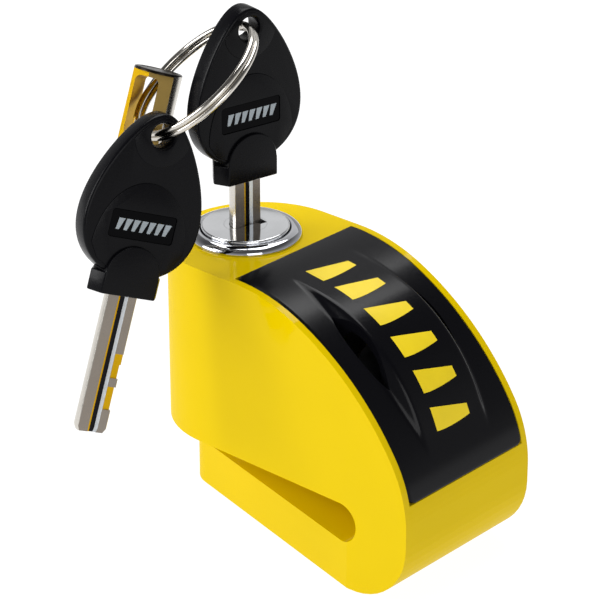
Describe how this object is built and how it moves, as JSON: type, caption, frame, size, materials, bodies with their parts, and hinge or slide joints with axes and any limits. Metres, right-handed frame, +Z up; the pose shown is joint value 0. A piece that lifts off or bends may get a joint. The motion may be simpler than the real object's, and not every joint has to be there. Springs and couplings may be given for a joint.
{
  "type": "disc brake lock",
  "caption": "Motorcycle brake disc lock with a slotted die-cast body, push-down key barrel, locking pin, alarm behind a curved cover, and keys on a split ring.",
  "frame": {"origin": "where the lock's axis meets the flat base", "axes": "+Z up along the lock axis, +X towards the nose and the slot's closed end, Y across the body; the slot opens towards -X"},
  "size_m": [0.0794, 0.0724, 0.1113],
  "materials": {
    "yellow_paint": "smooth gloss enamel on die-cast zinc",
    "bright_chrome": "polished chrome plate",
    "satin_chrome": "satin chrome plate, fine turned lines",
    "hard_steel": "ground hardened steel",
    "spring_steel": "drawn spring wire",
    "lock_brass": "machined brass",
    "key_nickel": "nickel-plated brass, cut faces bare",
    "ring_nickel": "nickel-plated spring wire",
    "black_cover": "satin black moulded plastic",
    "yellow_print": "smooth printed yellow",
    "black_head": "fine moulded grain",
    "label_black": "smooth gloss inlay",
    "seal_rubber": "soft rubber",
    "inner_plastic": "moulded plastic",
    "grey_plastic": "moulded plastic",
    "mesh_steel": "woven wire mesh",
    "board_green": "glass-epoxy board",
    "cell_steel": "nickel-plated steel can",
    "lead_pvc": "PVC insulation",
    "plunger_red": "moulded acetal"
  },
  "bodies": {
    "lock_body": {"body_casting": "yellow_paint", "lock_bezel": "bright_chrome", "barrel_seal": "seal_rubber", "guide_screw": "hard_steel", "return_spring": "spring_steel", "alarm_cover": "black_cover", "cover_stripes": "yellow_print", "cover_gasket": "seal_rubber", "cover_screws": "hard_steel", "sound_mesh": "mesh_steel", "alarm_tray": "inner_plastic", "circuit_board": "board_green", "board_parts": "inner_plastic", "vibration_sensor": "cell_steel", "arming_switch": "grey_plastic", "siren_case": "inner_plastic", "piezo_disc": "lock_brass", "siren_leads": "lead_pvc", "button_cells": "cell_steel", "battery_contacts": "cell_steel"},
    "barrel": {"lock_barrel": "satin_chrome", "barrel_cap": "satin_chrome", "locking_pin": "hard_steel", "pin_cross_pin": "hard_steel"},
    "plug": {"lock_plug": "lock_brass", "detainer_discs": "lock_brass", "disc_spacers": "cell_steel", "key_guide": "satin_chrome", "lock_sidebar": "hard_steel"},
    "latch": {"latch_dog": "hard_steel"},
    "plunger": {"switch_plunger": "plunger_red"},
    "key_1": {"key_1_blade": "key_nickel", "key_1_head": "black_head", "key_1_label": "label_black"},
    "ring": {"split_ring": "ring_nickel"},
    "key_2": {"key_2_blade": "key_nickel", "key_2_head": "black_head", "key_2_label": "label_black"},
    "tool": {"cover_tool": "key_nickel"}
  },
  "joints": [
    {"name": "barrel_slide", "type": "slide", "parent": "lock_body", "child": "barrel", "axis": [0, 0, 1], "range_m": [0, 0.015], "deforming": ["return_spring"]},
    {"name": "plunger_slide", "type": "slide", "parent": "lock_body", "child": "plunger", "axis": [1, 0, 0], "range_m": [0, 0.00091]},
    {"name": "key_turn", "type": "hinge", "parent": "barrel", "child": "plug", "pos_m": [0, 0, 0.06], "axis": [0, 0, -1], "range_deg": [0, 90]},
    {"name": "latch_slide", "type": "slide", "parent": "barrel", "child": "latch", "axis": [1, 0, 0], "range_m": [0, 0.00161]},
    {"name": "key_pull", "type": "slide", "parent": "plug", "child": "key_1", "axis": [0, 0, 1], "range_m": [0, 0.03]},
    {"name": "ring_swing", "type": "hinge", "parent": "key_1", "child": "ring", "pos_m": [0, 0, 0.1068], "axis": [-0.9781, 0.2079, 0], "range_deg": [-4, 60]},
    {"name": "key_2_swing", "type": "hinge", "parent": "ring", "child": "key_2", "pos_m": [0.0014, -0.0266, 0.0912], "axis": [-0.9358, 0.3204, -0.147], "range_deg": [-8, 45]},
    {"name": "tool_slide", "type": "hinge", "parent": "ring", "child": "tool", "pos_m": [-0.0014, -0.0129, 0.0982], "axis": [-0.3739, -0.5146, 0.7716], "range_deg": [-6, 10]}
  ],
  "couplings": [
    {"joint": "plunger_slide", "follows": "barrel_slide", "ratio": 0.06},
    {"joint": "latch_slide", "follows": "key_turn", "m_per_rad": 0.00102}
  ]
}
